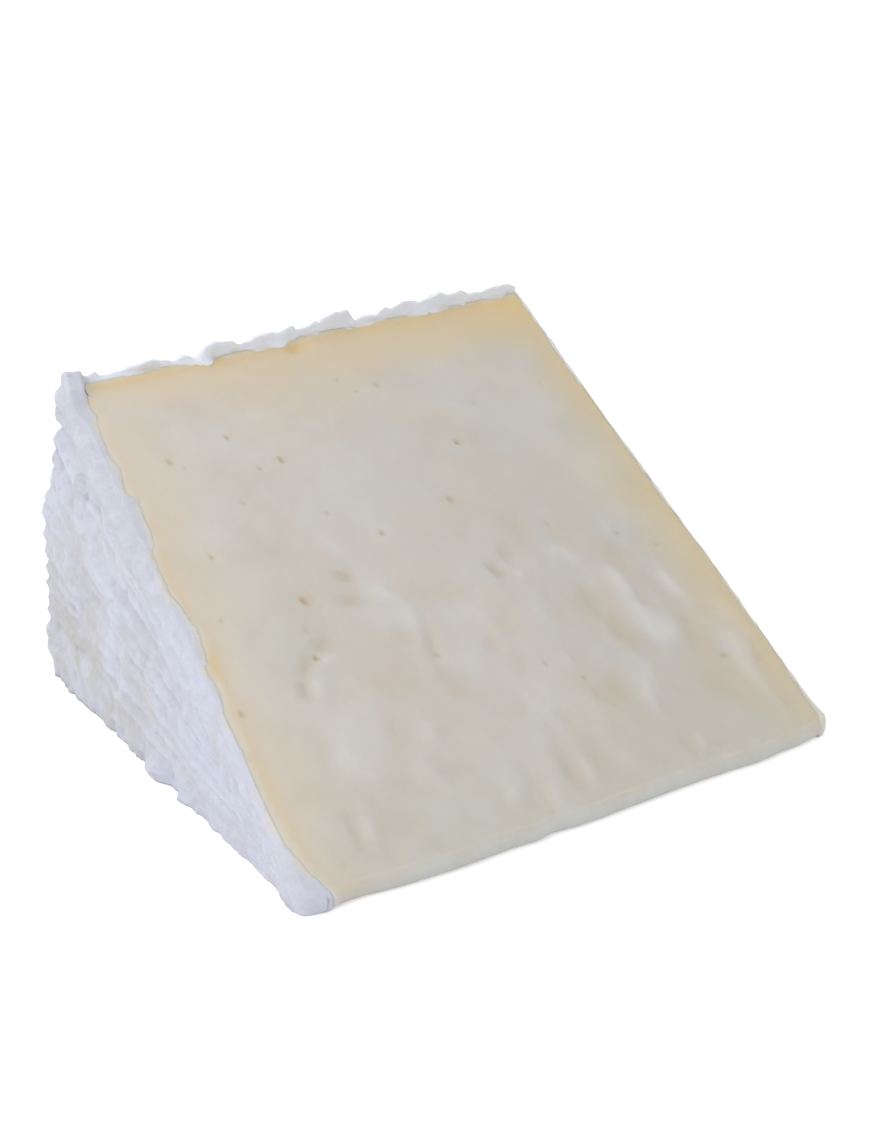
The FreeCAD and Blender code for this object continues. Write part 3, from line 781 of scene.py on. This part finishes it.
def with_inner(outer, value):
    """The rows of the outer skin, and one value for every point of the inner side."""
    return np.concatenate([outer, np.full(inner_x.shape, value)], axis=1)


to_edge = with_inner(border[:, None] - inward, -1.0)
below = with_inner(down, 50.0)

# Outward directions: the cross product of the two ways along the grid.
along_path = np.gradient(bare, axis=0)
round_ring = np.roll(bare, -1, axis=1) - np.roll(bare, 1, axis=1)
outward = np.cross(round_ring, along_path)
outward /= np.maximum(np.linalg.norm(outward, axis=-1, keepdims=True), 1e-9)
middle = bare.mean(axis=(0, 1))
if np.sum((outward * (bare - middle))[:, :60]) < 0:
    outward = -outward

# Flat on the cut, it simply faces as the cut does.
outward = outward + (NORMAL - outward) * with_inner(follow, 0.0)[..., None]

# Beside the table it swells and sinks level, so that its foot never leaves the table,
# and the lowest rows all move as the fourth one does.
outward[:, :3] = outward[:, [3]]
outward[..., 2] *= smooth(rind_z / 2.5)
outward /= np.maximum(np.linalg.norm(outward, axis=-1, keepdims=True), 1e-9)

# Broad swells much as the solid has them: three sines, of the depth below the cut and
# of the distance from the axis, which the two sides read in different places.
reach_out = np.hypot(rind_y, rind_z)
read_at = reach_out + 9.0 * side[:, None]
swell = 0.4 * np.sin(2 * math.pi * below / RIDGE_PITCH + np.sin(read_at / 13.0 + 0.5))
swell += 0.3 * np.sin(read_at / 9.0 - below / 17.0)
swell += 0.3 * np.sin(below / 7.0 + read_at / 23.0 + 2.0)
swell = 0.7 * (swell - 0.3)

# A strip of thicker felt under the rolled edge stands proud of the face, with a ragged
# hem: it overhangs near the rim and thins out towards the tip.  This is how far below
# the cut the hem lies on the left: distance from the tip and depth.
LEFT_HEM = (
    (20.0, 1.8), (40.0, 2.6), (54.0, 3.3), (62.0, 4.0), (71.0, 4.9), (75.5, 5.2), (78.0, 6.4),
    (80.5, 7.2), (82.3, 9.4), (84.4, 9.7), (85.4, 6.4), (87.0, 4.9), (89.6, 4.3),
    (91.6, 5.2), (94.0, 6.6), (98.0, 7.5),
)
hem = np.where(side[:, None] < 0, eased(reach_out, LEFT_HEM), 4.5)
hem = hem + 0.5 * rough(bare, 2.2, 105, 4)
strip = 1.0 - smooth((below - hem) / 0.5)
thick = 0.25 + 0.75 * smooth((base_along - 38.0) / 26.0)[:, None]
thick = thick * np.where(side < 0, 1.0, 0.15)[:, None]
proud = thick * np.where(side < 0, 1.0 - 0.3 * smooth((base_along - 82.0) / 9.0), 1.0)[:, None]
undercut = 0.55 * hump(below - hem - 0.9, 0.8) * smooth((reach_out - 60.0) / 15.0)

# Ridges run along the face, a few millimetres apart, and draw together at the tip.
angle = np.arctan2(rind_z, np.maximum(rind_y, 0.5))
past_left = np.maximum(rind_x + 45.5, 0.0)
fan = np.stack([reach_out / 30.0, angle * 34.0, 3.0 + past_left / 12.0], axis=-1)
ridges = 0.8 - 2.4 * np.abs(noise(fan + 0.12 * rough(bare, 5.0, 113)[..., None], 1.0, 111))
fine = np.stack([reach_out / 16.0, angle * 80.0, 9.0 + past_left / 7.0], axis=-1)
ridges += 0.6 * noise(fine, 1.0, 112)

# Over them lie lumps and pores, the thick strip, and crumbs that are finest where the
# felt runs out onto the cut.
lumps = rough(bare, 7.0, 121, 4)
crumbly = rough(bare, 1.8, 131, 3)
pores = smooth((noise(bare, 1.6, 135) - 0.35) / 0.25)
wall_mask = smooth((below - 1.0) / 3.0)
ridges *= 0.18 + 0.14 * smooth((reach_out - 25.0) / 35.0)
carved = ridges * (1.0 - 0.7 * strip * thick) + 0.3 * lumps - 0.2 * pores
carved *= wall_mask * (0.45 + 0.55 * smooth((reach_out - 20.0) / 40.0))
carved += (0.9 * strip * proud - undercut * thick) * smooth(below / 2.0)
carved += 0.28 * strip * rough(bare, 2.4, 145, 3) * smooth(to_edge - 0.2)
carved += crumbly * (0.13 + 0.08 * wall_mask) * smooth((to_edge + 0.4) / 0.8)
carved += on_wall[:, None] * 0.3 * rough(bare, 2.4, 141, 4) * smooth((4.0 - below) / 2.5)
relief = swell * wall_mask + carved

# Pits, chips and bumps of the left face: how far back from the axis, how high, radius
# and relief.
FACE_MARKS = (
    (69.5, 41.0, 1.6, -1.0), (65.5, 38.4, 1.4, -0.9), (73.6, 46.6, 1.8, -0.7),
    (75.0, 2.0, 1.2, -0.8), (63.0, 2.0, 1.2, -0.8), (54.5, 1.6, 1.2, -0.8),
    (45.4, 1.0, 2.6, -1.7), (49.4, 1.8, 1.7, 1.2), (20.0, 4.0, 14.0, -0.8),
    (8.0, 1.0, 5.0, 0.2), (60.0, 1.0, 6.0, 0.6), (80.0, 1.0, 5.0, 0.4),
    (84.0, 42.0, 10.0, -0.4), (92.0, 30.0, 6.0, 0.6), (94.0, 2.0, 4.5, -0.4),
    (82.0, 46.6, 2.4, -0.7), (58.0, 16.0, 2.2, 0.5), (52.0, 20.5, 1.2, 0.5),
    (70.0, 22.0, 3.5, -0.5), (76.0, 30.0, 2.5, 0.6), (78.0, 12.0, 4.0, -0.4),
    (84.0, 20.0, 4.0, 0.7), (80.0, 38.0, 3.0, 0.7), (30.0, 10.0, 2.5, -0.4),
    (38.0, 15.0, 2.0, 0.4),
)
for mark_y, mark_z, radius, rise in FACE_MARKS:
    reach_mark = np.hypot(rind_y - mark_y, rind_z - mark_z)
    relief += rise * np.exp(-((reach_mark / radius) ** 2)) * (side < 0)[:, None]

# It sinks by about 2 at most, and hardly at all at the edge of the cut.
relief = np.maximum(relief, -0.04 - 2.0 * smooth(below / 4.0))

# It fades over the last rows of the outer side, which go under the paste's surface, and
# is weak on the nose.
fading = np.ones(x.shape)
fading[:, -6:] = np.linspace(1.0, 0.0, 7)[1:]
visible = with_inner(fading, 0.0) * (1.0 - 0.85 * on_nose[:, None])
skin = bare + outward * (relief * visible)[..., None]
skin[..., 2] = np.maximum(skin[..., 2], 0.0)
rind = make_piece("rind", lean_in(skin) + AXIS)

# What colours the felt: how near its border is, painted shade in its hollows and towards the tip,
# its thickness and wear, and painted light along the rim.
above = np.maximum(-below, 0.0)
to_border = to_edge + 0.5 * rough(bare, 1.8, 151, 3) + (0.5 * on_wall)[:, None] + above
to_border -= 1.2 * smooth((45.0 - base_along) / 25.0)[:, None] * (side > 0)[:, None]
write_values(rind, "to_border", to_border)
# Painted shade: the felt is painted greyer in its hollows and pores, in the groove under the hem,
# and towards the tip.
hollow_shade = np.clip(0.5 - 0.75 * carved, 0.0, 1.0) * wall_mask
tip_shade = np.maximum(0.4 * smooth((75.0 - reach_out) / 30.0), 0.75 * smooth((15.0 - reach_out) / 10.0))
write_values(rind, "hollow_shade", np.maximum(hollow_shade, tip_shade))
write_values(rind, "thick", strip * np.broadcast_to(thick, strip.shape))
# Near the rim the felt is painted whiter: torn felt is white, and painted light lifts the shade on
# the front of the lip.
near_rim = smooth((4.5 - np.minimum(outer_radius(rind_x) - reach_out, from_rim[:, None])) / 2.0)
near_rim *= 1.0 - 0.85 * smooth((-42.6 - rind_x) / 1.6)
write_values(rind, "torn", near_rim * (1.0 - smooth(below / 3.0)))
handled = hump(rind_y - 84.0, 18.0) * hump(rind_z - 13.0, 14.0)
handled += 0.6 * hump(rind_y - 62.0, 14.0) * hump(rind_z - 4.0, 8.0)
write_values(rind, "handled", np.minimum(handled, 1.0) * (side < 0)[:, None])

# White mould felt on a bloomy rind: millions of short pale threads, pressed flat by
# handling.  It is matt and cool, nearly white where it is thick, and beige where it
# has worn down over the crust; its colour is painted greyer as shade in its hollows
# and towards the tip.
felt = bpy.data.materials.new("white_mould_felt")
felt.use_nodes = True
felt.node_tree.nodes.clear()
place = add(felt, "ShaderNodeTexCoord", {}, {}).outputs["Object"]
kept = {name: add(felt, "ShaderNodeAttribute", {"attribute_name": name}, {}).outputs["Fac"]
        for name in ("hollow_shade", "thick", "handled", "torn", "to_border")}

# Worn patches about 9 mm across, off the thick strip.
wear = add(felt, "ShaderNodeTexNoise", {}, {
    "Vector": place, "Scale": 1 / 0.009, "Detail": 4.0, "Roughness": 0.6})
worn = add(felt, "ShaderNodeMapRange", {}, {
    "Value": wear.outputs["Fac"], "From Min": 0.52, "From Max": 0.72, "To Max": 0.55})
off_strip = add(felt, "ShaderNodeMath", {"operation": "SUBTRACT"}, {0: 1.0, 1: kept["thick"]})
patchy = add(felt, "ShaderNodeMath", {"operation": "MULTIPLY"}, {
    0: worn.outputs["Result"], 1: off_strip.outputs[0]})

# Rubbed patches 8 mm across, where the wheel was handled.
rubs = add(felt, "ShaderNodeTexNoise", {"noise_dimensions": "4D"}, {
    "Vector": place, "W": 5.0, "Scale": 1 / 0.008, "Detail": 3.0, "Roughness": 0.5})
rub = add(felt, "ShaderNodeMapRange", {}, {
    "Value": rubs.outputs["Fac"], "From Min": 0.36, "From Max": 0.6, "To Max": 0.8})
rubbing = add(felt, "ShaderNodeMath", {"operation": "MULTIPLY"}, {
    0: rub.outputs["Result"], 1: kept["handled"]})

# Tufts of longer threads about 2.5 mm across.
tufts = add(felt, "ShaderNodeTexNoise", {"noise_dimensions": "4D"}, {
    "Vector": place, "W": 2.0, "Scale": 1 / 0.0025, "Detail": 3.0, "Roughness": 0.6})

colour = coated(felt, linear("d5d9e7"), (
    # Hollows and the end towards the tip are painted greyer as shade, worn felt is beige, and
    # rubbed felt is a warmer beige.
    (kept["hollow_shade"], 0.0, 1.0, 1.0, linear("c3c3d0")),
    (patchy.outputs[0], 0.0, 1.0, 1.0, linear("c6c2c1")),
    (rubbing.outputs[0], 0.0, 1.0, 1.0, linear("c1bdb5")),
    # The thick strip is even, and tufts are cooler.
    (kept["thick"], 0.0, 1.0, 1.0, linear("c8cbd5")),
    (tufts.outputs["Fac"], 0.48, 0.68, 0.34, linear("dbdfec")),
    # Freshly torn felt along the rim is the whitest, and it is painted whiter still as light that
    # lifts the shade on the front of the torn lip.
    (kept["torn"], 0.0, 1.0, 1.0, linear("e5eaf6")),
    # Ripe cream shows through the last 1.3 mm before the border.
    (kept["to_border"], 1.3, 0.0, 0.75, linear("d8d1c0")),
))

# Threads too fine to show are drawn as a fuzz of bumps 0.5 mm across.
fuzz = add(felt, "ShaderNodeTexNoise", {}, {
    "Vector": place, "Scale": 1 / 0.0005, "Detail": 3.0, "Roughness": 0.6})
fuzzy = add(felt, "ShaderNodeBump", {}, {
    "Strength": 0.6, "Distance": 0.0003, "Height": fuzz.outputs["Fac"]})
body = add(felt, "ShaderNodeBsdfPrincipled", {}, {
    "Base Color": colour, "Roughness": 0.85, "IOR": 1.4, "Subsurface Weight": 0.8,
    "Subsurface Radius": (1.0, 0.85, 0.7), "Subsurface Scale": 0.0007,
    "Normal": fuzzy.outputs["Normal"]})
add(felt, "ShaderNodeOutputMaterial", {}, {"Surface": body.outputs["BSDF"]})
rind.data.materials.append(felt)

# --- The studio -------------------------------------------------------------------
# A white table under an even white sky, with one large soft lamp high on the left.
# The camera looks down on the cut from the tip's side, turned to show the left rind.
# Sizes here are in metres.

TABLE = 3.0
corners = TABLE * np.array([[-1, -1, 0], [1, -1, 0], [1, 1, 0], [-1, 1, 0]], dtype=float)
table_mesh = bpy.data.meshes.new("table")
table_mesh.from_pydata(corners.tolist(), [], [(0, 1, 2, 3)])
table_top = bpy.data.objects.new("table", table_mesh)
bpy.context.scene.collection.objects.link(table_top)

# Matt white card.  Seen by the camera or in a reflection it is lifted to white.
card = bpy.data.materials.new("matt_white_card")
card.use_nodes = True
card.node_tree.nodes.clear()
ray = add(card, "ShaderNodeLightPath", {}, {})
seen = add(card, "ShaderNodeMath", {"operation": "MAXIMUM"}, {
    0: ray.outputs["Is Camera Ray"], 1: ray.outputs["Is Glossy Ray"]})
seen_too = add(card, "ShaderNodeMath", {"operation": "MAXIMUM"}, {
    0: seen.outputs[0], 1: ray.outputs["Is Transmission Ray"]})
glow = add(card, "ShaderNodeMath", {"operation": "MULTIPLY"}, {0: seen_too.outputs[0], 1: 0.36})
matt = add(card, "ShaderNodeBsdfDiffuse", {}, {"Color": linear("eeeeee")})
lifted = add(card, "ShaderNodeEmission", {}, {
    "Color": (1.0, 1.0, 1.0, 1.0), "Strength": glow.outputs[0]})
both = add(card, "ShaderNodeAddShader", {}, {
    0: matt.outputs["BSDF"], 1: lifted.outputs["Emission"]})
add(card, "ShaderNodeOutputMaterial", {}, {"Surface": both.outputs[0]})
table_mesh.materials.append(card)

# The sky is white to the eye, and lights the cheese at 0.8 of that.
world = bpy.data.worlds.new("studio")
bpy.context.scene.world = world
world.use_nodes = True
world.node_tree.nodes.clear()
ray = add(world, "ShaderNodeLightPath", {}, {})
seen = add(world, "ShaderNodeMath", {"operation": "MAXIMUM"}, {
    0: ray.outputs["Is Camera Ray"], 1: ray.outputs["Is Transmission Ray"]})
level = add(world, "ShaderNodeMapRange", {}, {
    "Value": seen.outputs[0], "To Min": 0.8, "To Max": 1.0})
sky = add(world, "ShaderNodeBackground", {}, {
    "Color": (1.0, 1.0, 1.0, 1.0), "Strength": level.outputs["Result"]})
add(world, "ShaderNodeOutputWorld", {}, {"Surface": sky.outputs["Background"]})


def aimed(thing, place, target):
    """Link a lamp or a camera at a place, turned so that its -Z looks at a target.

    Both points are in metres.
    """
    holder = bpy.data.objects.new(thing.name, thing)
    bpy.context.scene.collection.objects.link(holder)
    way = Vector(target) - Vector(place)
    holder.location = place
    holder.rotation_mode = "QUATERNION"
    holder.rotation_quaternion = way.to_track_quat("-Z", "Y")
    return holder


lamp = bpy.data.lights.new("softbox", "AREA")
lamp.shape = "SQUARE"
lamp.size = 0.6
lamp.energy = 2.3
aimed(lamp, (-0.56, -0.3, 0.55), (0.0, 0.0, 0.03))

camera = bpy.data.cameras.new("camera")
camera.sensor_fit = "HORIZONTAL"
camera.sensor_width = 36.0
camera.lens = 62.07
camera.clip_start = 0.01
AZIMUTH, ELEVATION, DISTANCE = math.radians(33.88), math.radians(19.21), 0.24608
aim = np.array([0.00186, -0.00497, 0.0250])
towards = np.array([
    -math.sin(AZIMUTH) * math.cos(ELEVATION), -math.cos(AZIMUTH) * math.cos(ELEVATION),
    math.sin(ELEVATION)])
bpy.context.scene.camera = aimed(camera, (aim + DISTANCE * towards).tolist(), aim.tolist())
bpy.context.scene.view_settings.view_transform = "Standard"
